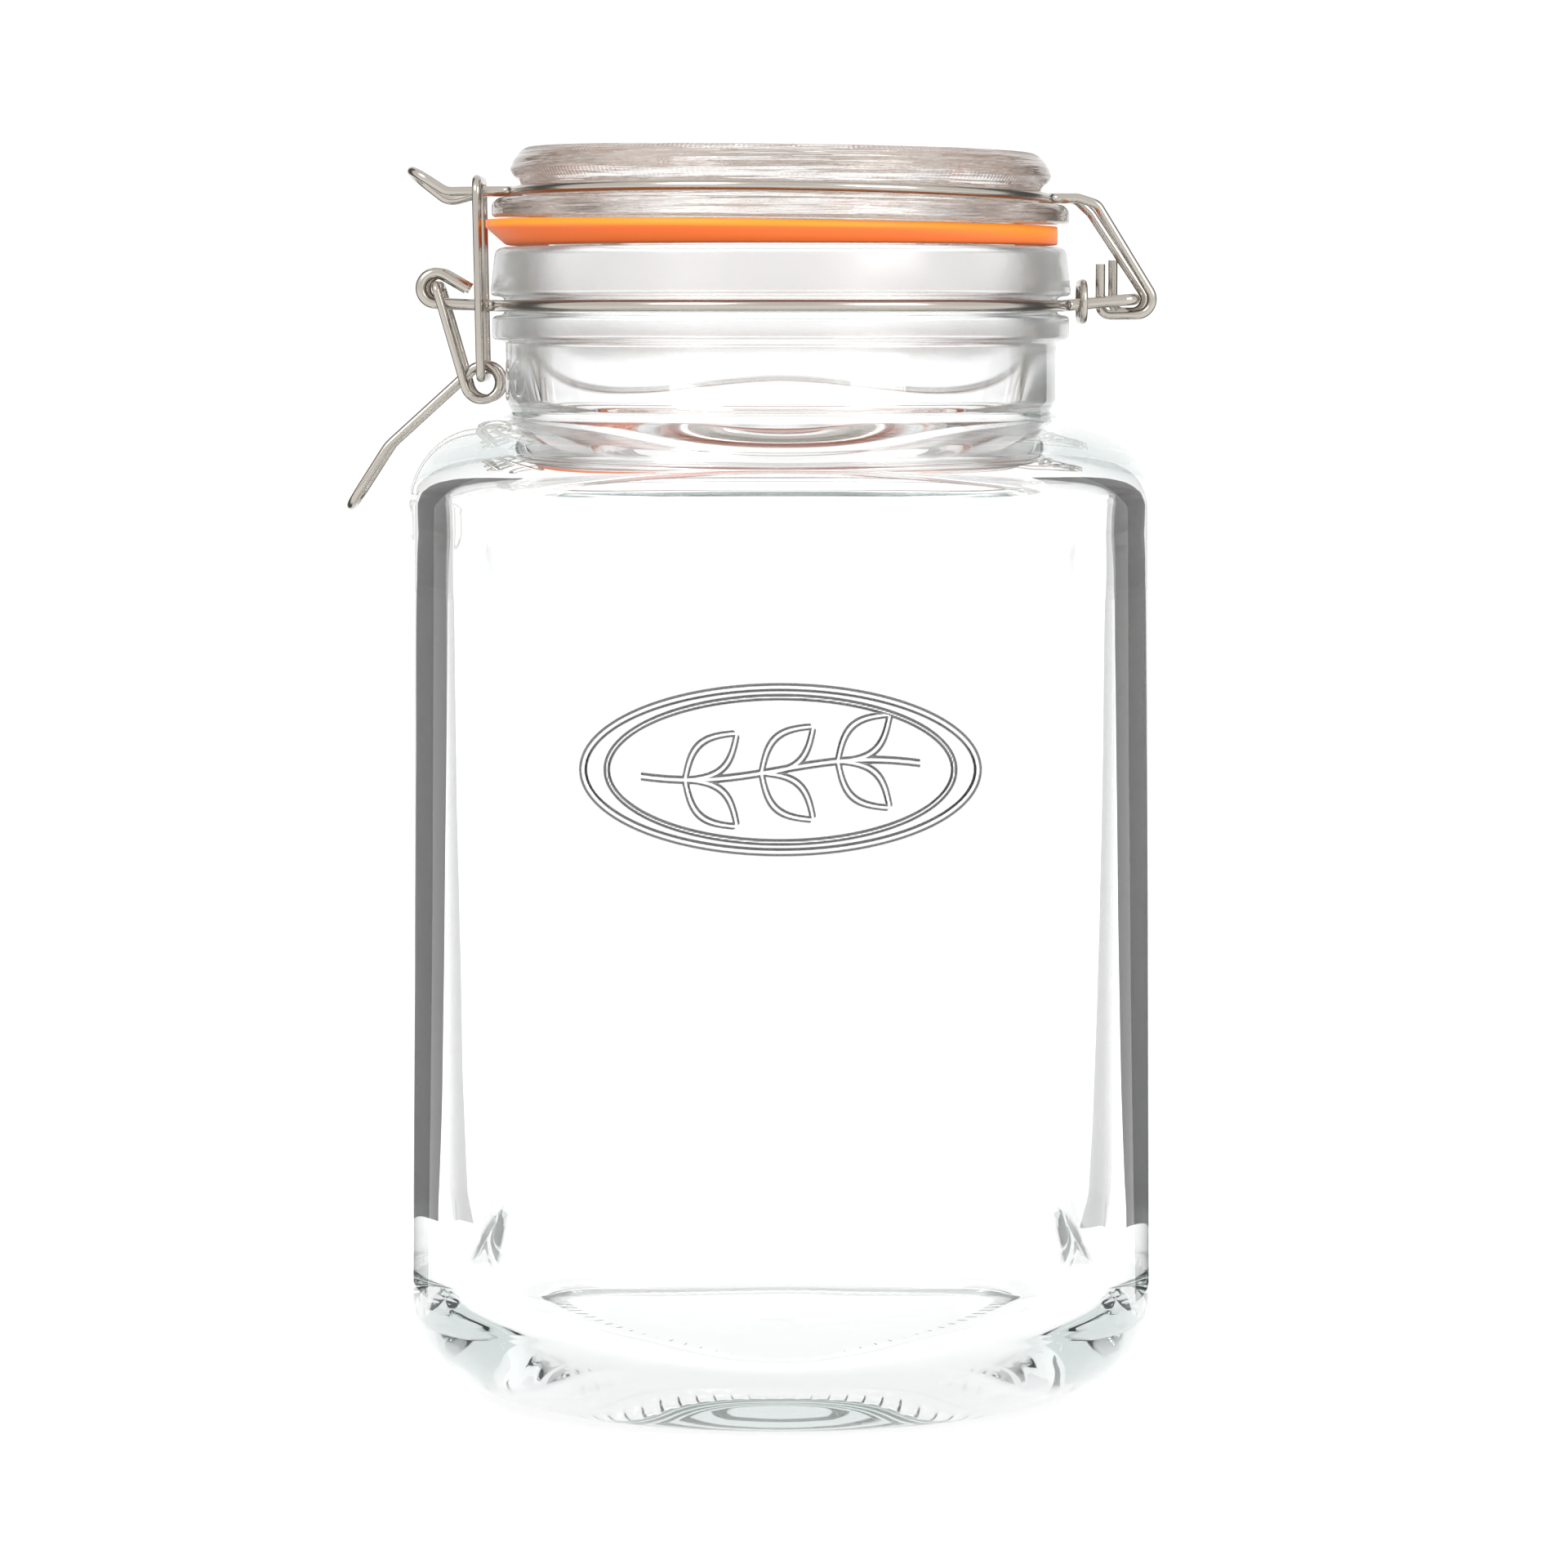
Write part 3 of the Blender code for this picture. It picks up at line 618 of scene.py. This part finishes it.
def relief_height(x, z):
    """Height of the moulded motif, an oval ring with a plain leafy sprig inside."""
    dx = x / RELIEF_HALF[0]
    dz = (z - RELIEF_Z) / RELIEF_HALF[1]
    radius = math.hypot(dx, dz)
    if radius > 1.2:
        return 0.0
    slope = math.hypot(dx / RELIEF_HALF[0], dz / RELIEF_HALF[1]) / max(radius, 1e-6)
    slope = max(slope, 1e-6)
    inner = abs(radius - INNER_OVAL) / slope + INNER_OVAL_THIN
    nearest = min(abs(radius - 1) / slope, inner)
    if radius < 0.86:
        stem = abs(z - RELIEF_Z - STEM_WAVE * math.sin(x / STEM_LENGTH)) if abs(x) < STEM_HALF else FAR
        nearest = min(nearest, stem)
        for k in LEAF_PAIRS:
            root_x = k * LEAF_SPACING - LEAF_SHIFT
            root = (root_x, RELIEF_Z + STEM_WAVE * math.sin(root_x / STEM_LENGTH))
            for angle in (LEAF_ANGLE, -LEAF_ANGLE):
                nearest = min(nearest, leaf_distance(x, z, root, angle, LEAF_LENGTH, LEAF_HALF))
    if nearest > 2 * RELIEF_LINE:
        return 0.0
    return RELIEF_HEIGHT * math.exp(-((nearest / RELIEF_LINE) ** 2))


def body_place(ring, turn):
    """A point of the body, with the moulded motif in front and the knurl under the base."""
    half, z, power, kind = ring
    radius = plan_radius(half, power, turn) if half else 0
    x = radius * math.cos(turn)
    y = radius * math.sin(turn)
    if kind == "side" and y < 0 and abs(z - RELIEF_Z) < RELIEF_HALF[1] + RELIEF_MARGIN:
        y -= relief_height(x, z)
    across = (half - KNURL_INNER) / KNURL_WIDTH
    if kind == "foot" and 0 < across < 1:
        wave = max(0.0, math.cos(KNURLS * turn))
        z -= KNURL_HEIGHT * wave * math.sin(math.pi * across) * (z / PUSH_UP)
    return x, y, z


def mark_flanks(data):
    """Store how near each point is to the steep middle of a moulded line's flank, the mask for the
    painted shade there.
    """
    values = []
    for vertex in data.vertices:
        x = vertex.co.x / MM - AXIS_X
        z = vertex.co.z / MM
        at_front = vertex.co.y < -(BODY_HALF - FLANK_SKIN) * MM
        share = relief_height(x, z) / RELIEF_HEIGHT if at_front else 0
        values.append(4 * share * (1 - share))
    layer = data.attributes.new("flank", "FLOAT", "POINT")
    layer.data.foreach_set("value", values)


# ---------------------------------------------------------------- lid and seal
def lid_rings():
    """The lid's profile, from the middle of its underside out and up to the middle of its top."""
    ceiling = LID_TOP - LID_DISH_DEPTH - LID_GLASS
    plug_foot = RIM_TOP - PLUG_REACH
    plug_r = MOUTH_R - PLUG_GAP
    corners = [
        (0.01, ceiling),
        (plug_r - PLUG_WIDTH - PLUG_SLOPE, ceiling),
        (plug_r - PLUG_WIDTH, plug_foot),
        (plug_r - 0.8, plug_foot),
        (plug_r, plug_foot + 0.8),
        (plug_r, LID_FOOT),
        (LID_R - 0.4, LID_FOOT),
        (LID_R, LID_FOOT + 0.4),
        (LID_R, LID_FLANGE_TOP - 1.0),
        (LID_R - 1.0, LID_FLANGE_TOP),
        (LID_GROOVE_R, LID_FLANGE_TOP),
        (LID_GROOVE_R + 0.2, LID_BEAD_FOOT),
        (LID_BEAD_R - 0.5, LID_BEAD_FOOT + 1.4),
        (LID_BEAD_R, LID_BEAD_FOOT + 2.4),
        (LID_BEAD_R - 0.7, LID_BEAD_FOOT + 4.2),
        (LID_BEAD_R - LID_CREST_IN, LID_TOP),
        (LID_DISH_R + 2, LID_TOP),
        (LID_DISH_R, LID_TOP - LID_DISH_DEPTH),
        (0.01, LID_TOP - LID_DISH_DEPTH),
    ]
    rounded = soften(corners, 1.5, 6)
    return [(0, ceiling)] + rounded + [(0, LID_TOP - LID_DISH_DEPTH)]


def lid_place(ring, turn):
    """Turned, tilted, and with the fine knurl along the two edges of the top bead."""
    half, z = ring
    tooth = 0.5 + 0.5 * math.cos(LID_TEETH * turn)
    crest = (LID_BEAD_R - LID_CREST_IN, LID_TOP)
    foot = (LID_BEAD_R - 0.5, LID_BEAD_FOOT + 1.4)
    for edge_r, edge_z in (crest, foot):
        reach = math.hypot(half - edge_r, z - edge_z)
        half -= TOOTH_IN * tooth * math.exp(-((reach / TOOTH_REACH) ** 2))
        z -= TOOTH_DOWN * tooth * math.exp(-((reach / TOOTH_REACH) ** 2))
    x = half * math.cos(turn)
    return x, half * math.sin(turn), z - x * LID_TILT


def seal_rings():
    """(radius, height, shift, share of the lid's tilt), with softened corners."""
    corners = [
        (MOUTH_R, SEAL_FOOT, 0, 0),
        (SEAL_R - SEAL_TAPER, SEAL_FOOT, 0.2, 0),
        (SEAL_R, SEAL_FOOT + SEAL_THICK * SEAL_RIDGE, SEAL_SHIFT, 0.7),
        (SEAL_R, SEAL_TOP, SEAL_SHIFT, 1),
        (MOUTH_R, SEAL_TOP, -1.2, 1),
    ]
    rings = []
    count = len(corners)
    for i, corner in enumerate(corners):
        before = corners[i - 1]
        after = corners[(i + 1) % count]
        for t in (0.0, 0.5, 1.0):
            ring = []
            for a, b, c in zip(before, corner, after):
                first = b + (a - b) * 0.12
                last = b + (c - b) * 0.12
                ring.append(first * (1 - t) ** 2 + b * 2 * t * (1 - t) + last * t**2)
            rings.append(tuple(ring))
    return rings


def seal_place(ring, turn):
    """A point of the seal, shifted and tilted by its ring."""
    half, z, shift, tilt = ring
    x = half * math.cos(turn) + shift
    return x, half * math.sin(turn), z - x * LID_TILT * tilt


# ---------------------------------------------------------------- wires
def out_from(start, angle, distance):
    """A point at a distance and an angle from another, in the wires' side view."""
    turn = math.radians(angle)
    return start[0] + distance * math.cos(turn), start[1] + distance * math.sin(turn)


def bend_points(before, corner, after, radius):
    """Replace a corner by an arc that is tangent to both of its runs."""
    a = (before - corner).normalized()
    b = (after - corner).normalized()
    opening = a.angle(b)
    turn = math.pi - opening
    if turn < math.radians(2):
        return [corner]
    reach = radius * math.tan(turn / 2)
    middle = corner + (a + b).normalized() * (radius / math.sin(opening / 2))
    start = corner + a * reach - middle
    axis = start.cross(corner + b * reach - middle).normalized()
    steps = max(2, math.ceil(math.degrees(turn) / BEND_STEP))
    points = []
    for i in range(steps + 1):
        share = turn * i / steps
        points.append(middle + start * math.cos(share) + axis.cross(start) * math.sin(share))
    return points


def bent_path(points, closed=False):
    """Turn (x, y, z, bend radius) corners into the points of a bent wire."""
    places = [Vector(point[:3]) for point in points]
    count = len(points)
    path = []
    for i, point in enumerate(points):
        at_end = not closed and i in (0, count - 1)
        if at_end or point[3] == 0:
            path.append(places[i])
            continue
        path += bend_points(places[i - 1], places[i], places[(i + 1) % count], point[3])
    return path


def ring_points(radius, height, start, end):
    """Points round the jar; height(x, y) gives each one's height."""
    steps = max(2, round(abs(end - start) / RING_STEP))
    points = []
    for i in range(steps + 1):
        turn = math.radians(start + (end - start) * i / steps)
        x = radius * math.cos(turn)
        y = radius * math.sin(turn)
        points.append((x, y, height(x, y), 0))
    return points


def plane_arc(centre, radius, start, end, y_start, y_end):
    """An arc in side view that also moves along y, as a coil does."""
    steps = max(2, math.ceil(abs(end - start) / BEND_STEP))
    points = []
    for i in range(steps + 1):
        x, z = out_from(centre, start + (end - start) * i / steps, radius)
        points.append((x, y_start + (y_end - y_start) * i / steps, z, 0))
    return points


def tangent_angle(centre, radius, point, side):
    """Where on a circle a straight wire from a point touches it, in degrees."""
    dx = point[0] - centre[0]
    dz = point[1] - centre[1]
    swing = math.degrees(math.acos(radius / math.hypot(dx, dz)))
    return (math.degrees(math.atan2(dz, dx)) + side * swing) % 360


def wire(name, path, radius, closed=False):
    """A round wire along a path; an open wire's ends are closed with flat caps."""
    curve = bpy.data.curves.new(name, "CURVE")
    curve.dimensions = "3D"
    curve.bevel_depth = radius * MM
    curve.bevel_resolution = 6
    curve.use_fill_caps = not closed
    curve.twist_mode = "MINIMUM"
    spline = curve.splines.new("POLY")
    spline.points.add(len(path) - 1)
    for target, place in zip(spline.points, path):
        target.co = ((place.x + AXIS_X) * MM, place.y * MM, place.z * MM, 1)
    spline.use_smooth = True
    spline.use_cyclic_u = closed
    return curve


def mirrored(points):
    """The same points mirrored front to back."""
    return [(x, -y, z, bend) for x, y, z, bend in points]


def band_path():
    """The neck band: curls at the clip, round the neck, crossbar at the hinge."""
    y = BAND_STRAND_Y
    curl_start = out_from(CURL, CURL_END_ANGLE, CURL_R)
    tail = out_from(curl_start, CURL_END_ANGLE - 90, CURL_TAIL)
    lead = math.degrees(math.asin((y + 1.6 * WIRE_BEND_R) / BAND_R))
    corner = math.sqrt(BAND_R**2 - y**2)
    back = (
        [(tail[0], y, tail[1], 0)]
        + plane_arc(CURL, CURL_R, CURL_END_ANGLE, 270, y, y)
        + [(-corner, y, BAND_Z, WIRE_BEND_R)]
        + ring_points(BAND_R, lambda x, y: BAND_Z, 180 - lead, lead)
        + [(corner, y, BAND_Z, WIRE_BEND_R), (CROSSBAR[0], y, CROSSBAR[1], WIRE_BEND_R)]
    )
    return bent_path(back + mirrored(back)[::-1])


def bail_height(x, y):
    """The bail's height along the tilted lid."""
    return BAIL_Z - x * LID_TILT + BAIL_ARCH * (y / BAIL_R) ** 2


def bail_half(side):
    """Half of the bail, from the nose's tip to the stub of its hook."""
    y = BAIL_STRAND_Y
    lead = math.degrees(math.asin((y + 1.6 * WIRE_BEND_R) / BAIL_R))
    corner = math.sqrt(BAIL_R**2 - y**2)
    nose_z = NOSE_Z - side * NOSE_TWIST
    tip_z = NOSE_Z + NOSE_TIP_RISE - side * NOSE_TWIST / 2
    hook = (CROSSBAR[0] + HOOK_SHIFT[side], CROSSBAR[1])
    radius = HOOK_R[side]
    tail = (RIM_R + TAIL_CORNER[side][0], BAND_Z + TAIL_CORNER[side][1])
    start = tangent_angle(hook, radius, tail, -1)
    stub_x = CROSSBAR[0] - STUB_BACK[side]
    points = (
        [
            (-RIM_R - NOSE_TIP_OUT, y, tip_z, BAIL_STRAND_Y * FULL_BEND),
            (-RIM_R - NOSE_OUT, y, nose_z, NOSE_BEND_R),
            (-LID_R - LEAVE_OUT, y, BAIL_END_Z, NOSE_BEND_R),
            (-corner, y, BAIL_END_Z, WIRE_BEND_R),
        ]
        + ring_points(BAIL_R, bail_height, 180 - lead, lead)
        + [
            (corner, y, bail_height(corner, y), WIRE_BEND_R),
            (LID_R + LEAVE_OUT, y, bail_height(corner, y), WIRE_BEND_R),
            (tail[0], y, tail[1], TAIL_BEND_R),
        ]
        + plane_arc(hook, radius, start, -90, y, y)
        + [
            (stub_x, y, hook[1] - radius, WIRE_BEND_R * 0.8),
            (stub_x, y, BAND_Z + STUB_RISE[side], 0),
        ]
    )
    return points if side > 0 else mirrored(points)


def bail_path():
    """The whole bail, from one stub round the nose to the other."""
    return bent_path(bail_half(-1)[::-1] + bail_half(1))


def lever_path():
    """The lever: both ends, both coils and the handle."""
    start = tangent_angle(COIL, COIL_R, LEVER_PIVOT, 1)
    end = tangent_angle(COIL, COIL_R, HANDLE_BEND, -1) + 360
    stub_y = BAND_STRAND_Y - BAND_WIRE_R - RUN_GAP - LEVER_WIRE_R
    back = (
        [
            (LEVER_PIVOT[0], stub_y, LEVER_PIVOT[1], 0),
            (LEVER_PIVOT[0], ARM_Y, LEVER_PIVOT[1], LEVER_END_BEND_R),
        ]
        + plane_arc(COIL, COIL_R, start, end, ARM_Y, HANDLE_Y)
        + [
            (HANDLE_BEND[0], HANDLE_Y, HANDLE_BEND[1], HANDLE_TOP_BEND_R),
            (HANDLE_TIP[0], HANDLE_Y, HANDLE_TIP[1], HANDLE_TIP_BEND_R),
        ]
    )
    return bent_path(back + mirrored(back)[::-1])


def link_path():
    """The closed link, from the coils up over the bail's nose."""
    top_x = LINK_PIVOT[0] - LINK_LEAN
    foot_bend = LINK_Y - ARM_Y - LEVER_WIRE_R
    corners = [
        (top_x, -LINK_Y, LINK_TOP_Z, LINK_BEND_R),
        (top_x, LINK_Y, LINK_TOP_Z, LINK_BEND_R),
        (LINK_PIVOT[0], LINK_Y, LINK_PIVOT[1], foot_bend),
        (LINK_PIVOT[0], -LINK_Y, LINK_PIVOT[1], foot_bend),
    ]
    return bent_path(corners, closed=True)


def collar_path():
    """The small closed loop round the band's strands."""
    x = RIM_R + COLLAR_OUT
    z = BAND_Z + COLLAR_RISE
    y = BAND_STRAND_Y + COLLAR_SIDE
    half = COLLAR_HALF_HEIGHT
    corners = [
        (x, -y, z - half, half * FULL_BEND),
        (x, y, z - half, half * FULL_BEND),
        (x, y, z + half, half * FULL_BEND),
        (x, -y, z + half, half * FULL_BEND),
    ]
    return bent_path(corners, closed=True)


# ---------------------------------------------------------------- stage
FLAG_PROFILE = ((0.12, 0.0), (0.24, 0.14), (0.24, 0.5))    # distance out, height
FLAG_TONE = (0.07, 0.07, 0.068, 1)
FLAG_START = 101.0      # degrees each side of the front
FLAG_END = 136.0
FLAG_STEPS = 12
LIGHT_DEPTH = 40        # bounces, enough to cross every wall of glass
FLOOR_TONE = (0.4, 0.4, 0.4, 1)
FLOOR_GLOW = 0.75
FLOOR_SIZE = 6.0        # metres
FLOOR_DROP = 0.0002
STUDIO_WHITE = 1.15
LENS = 127.5
SENSOR = 36
CAMERA_DISTANCE = 0.930
CAMERA_PITCH = 4.884    # degrees down
CAMERA_BELOW_BAND = 0.6
CAMERA_SIDE = 0.55
LIGHT_AIM = (0, 0, 0.12)
LIGHT_SIZE = (0.7, 0.7)


def make_stage():
    """The white floor, which glows so that it stays white in the glass."""
    floor_material = bpy.data.materials.new("stage_white")
    set_values(shader_of(floor_material), Base_Color=FLOOR_TONE, Roughness=0.9)
    set_values(shader_of(floor_material), Emission_Color=(1, 1, 1, 1), Emission_Strength=FLOOR_GLOW)
    mesh = bmesh.new()
    bmesh.ops.create_grid(mesh, x_segments=1, y_segments=1, size=FLOOR_SIZE)
    data = bpy.data.meshes.new("floor")
    mesh.to_mesh(data)
    mesh.free()
    data.materials.append(floor_material)
    floor = bpy.data.objects.new("floor", data)
    bpy.context.scene.collection.objects.link(floor)
    floor.location.z = -FLOOR_DROP


def make_world():
    """An even white studio."""
    world = bpy.data.worlds.new("studio")
    bpy.context.scene.world = world
    world.use_nodes = True
    background = world.node_tree.nodes["Background"]
    background.inputs["Color"].default_value = (1, 1, 1, 1)
    background.inputs["Strength"].default_value = STUDIO_WHITE
    bpy.context.scene.view_settings.view_transform = "Standard"


def make_flags():
    """Two curved dark flags, left and right a little behind, as used for dark glass edges.

    They show only in the glass and the wires, and cast no shadow. They are placed for the
    front view: from the side they show through the glass as dark panels.
    """
    material = bpy.data.materials.new("flag_black")
    set_values(shader_of(material), Base_Color=FLAG_TONE, Roughness=1.0)
    for side in (-1, 1):
        points = []
        for i in range(FLAG_STEPS + 1):
            turn = math.radians(FLAG_START + (FLAG_END - FLAG_START) * i / FLAG_STEPS)
            for out, height in FLAG_PROFILE:
                points.append((side * math.sin(turn) * out, -math.cos(turn) * out, height))
        rows = len(FLAG_PROFILE)
        faces = []
        for i in range(FLAG_STEPS):
            for k in range(rows - 1):
                low = i * rows + k
                faces.append((low, low + rows, low + rows + 1, low + 1))
        data = bpy.data.meshes.new("flag")
        data.from_pydata(points, [], faces)
        data.materials.append(material)
        flag = bpy.data.objects.new("flag", data)
        bpy.context.scene.collection.objects.link(flag)
        flag.visible_camera = False
        flag.visible_diffuse = False
        flag.visible_shadow = False
        flag.visible_volume_scatter = False


def add_light(name, place, aim, size, power):
    """A soft light that points at a place; lengths in metres."""
    data = bpy.data.lights.new(name, "AREA")
    data.shape = "RECTANGLE"
    data.size = size[0]
    data.size_y = size[1]
    data.energy = power
    light = bpy.data.objects.new(name, data)
    bpy.context.scene.collection.objects.link(light)
    light.location = place
    direction = Vector(aim) - Vector(place)
    light.rotation_euler = direction.to_track_quat("-Z", "Y").to_euler()


def make_light_paths():
    """Let light cross every wall of glass it meets, so that thick places don't end up black."""
    cycles = bpy.context.scene.cycles
    cycles.max_bounces = LIGHT_DEPTH
    cycles.transmission_bounces = LIGHT_DEPTH
    cycles.glossy_bounces = LIGHT_DEPTH


def make_camera():
    """The camera, in front of the jar and level with its neck band."""
    height = (BAND_Z - CAMERA_BELOW_BAND) * MM
    data = bpy.data.cameras.new("camera")
    data.lens = LENS
    data.sensor_width = SENSOR
    camera = bpy.data.objects.new("camera", data)
    bpy.context.scene.collection.objects.link(camera)
    camera.location = ((AXIS_X + CAMERA_SIDE) * MM, -CAMERA_DISTANCE, height)
    camera.rotation_euler = (math.radians(90 - CAMERA_PITCH), 0, 0)
    bpy.context.scene.camera = camera


# ---------------------------------------------------------------- assembly
def make_pieces():
    """Every piece with its material, its body and the node that it replaces."""
    ripple = [(18.0, (1, 1, 0.4), 0.25, 0.0006)]
    body_glass = glass_material("clear_body_glass", BODY_TINT, BODY_DENSITY, ripple)
    blur_from(body_glass, BEAD_FOOT - RIM_HAZE_BELOW, BEAD_FOOT + RIM_HAZE_ABOVE, RIM_HAZE)
    press = [(26.0, (1, 1, 30), 0.9, 0.0008), (700.0, (1, 1, 3), 0.2, 0.0001)]
    lid_glass = glass_material("pressed_lid_glass", LID_TINT, LID_DENSITY, press)
    rubber = rubber_material("orange_rubber")
    steel = steel_material("drawn_steel", STEEL_COLOUR, STEEL_ROUGHNESS)

    body = skin("body_glass", body_rings(), body_turns(), body_place)
    mark_flanks(body)
    paint_flank_shade(body_glass)
    new_piece("body_glass", body, body_glass, "jar", "jar_body")
    lid = skin("lid_glass", lid_rings(), even_turns(LID_COLUMNS), lid_place)
    new_piece("lid_glass", lid, lid_glass, "lid", "glass_lid")
    seal = skin("seal_ring", seal_rings(), even_turns(SEAL_COLUMNS), seal_place, closed_loop=True)
    new_piece("seal_ring", seal, rubber, "lid", "rubber_seal")

    wires = [
        ("band_wire", band_path(), BAND_WIRE_R, False, "jar", "neck_band"),
        ("collar_wire", collar_path(), COLLAR_WIRE_R, True, "jar", "collar_ring"),
        ("bail_strand", bail_path(), BAIL_WIRE_R, False, "lid", "bail_wire"),
        ("lever_wire", lever_path(), LEVER_WIRE_R, False, "lever", "clamp_lever"),
        ("link_wire", link_path(), LINK_WIRE_R, True, "link", "link_loop"),
    ]
    for name, path, radius, closed, body, node in wires:
        new_piece(name, wire(name, path, radius, closed), steel, body, node)


make_stage()
make_world()
make_flags()
make_pieces()
add_light("key", (-0.9, -1.1, 1.2), LIGHT_AIM, LIGHT_SIZE, 14)
add_light("fill", (1.0, -1.0, 0.8), LIGHT_AIM, LIGHT_SIZE, 9)
make_camera()
make_light_paths()
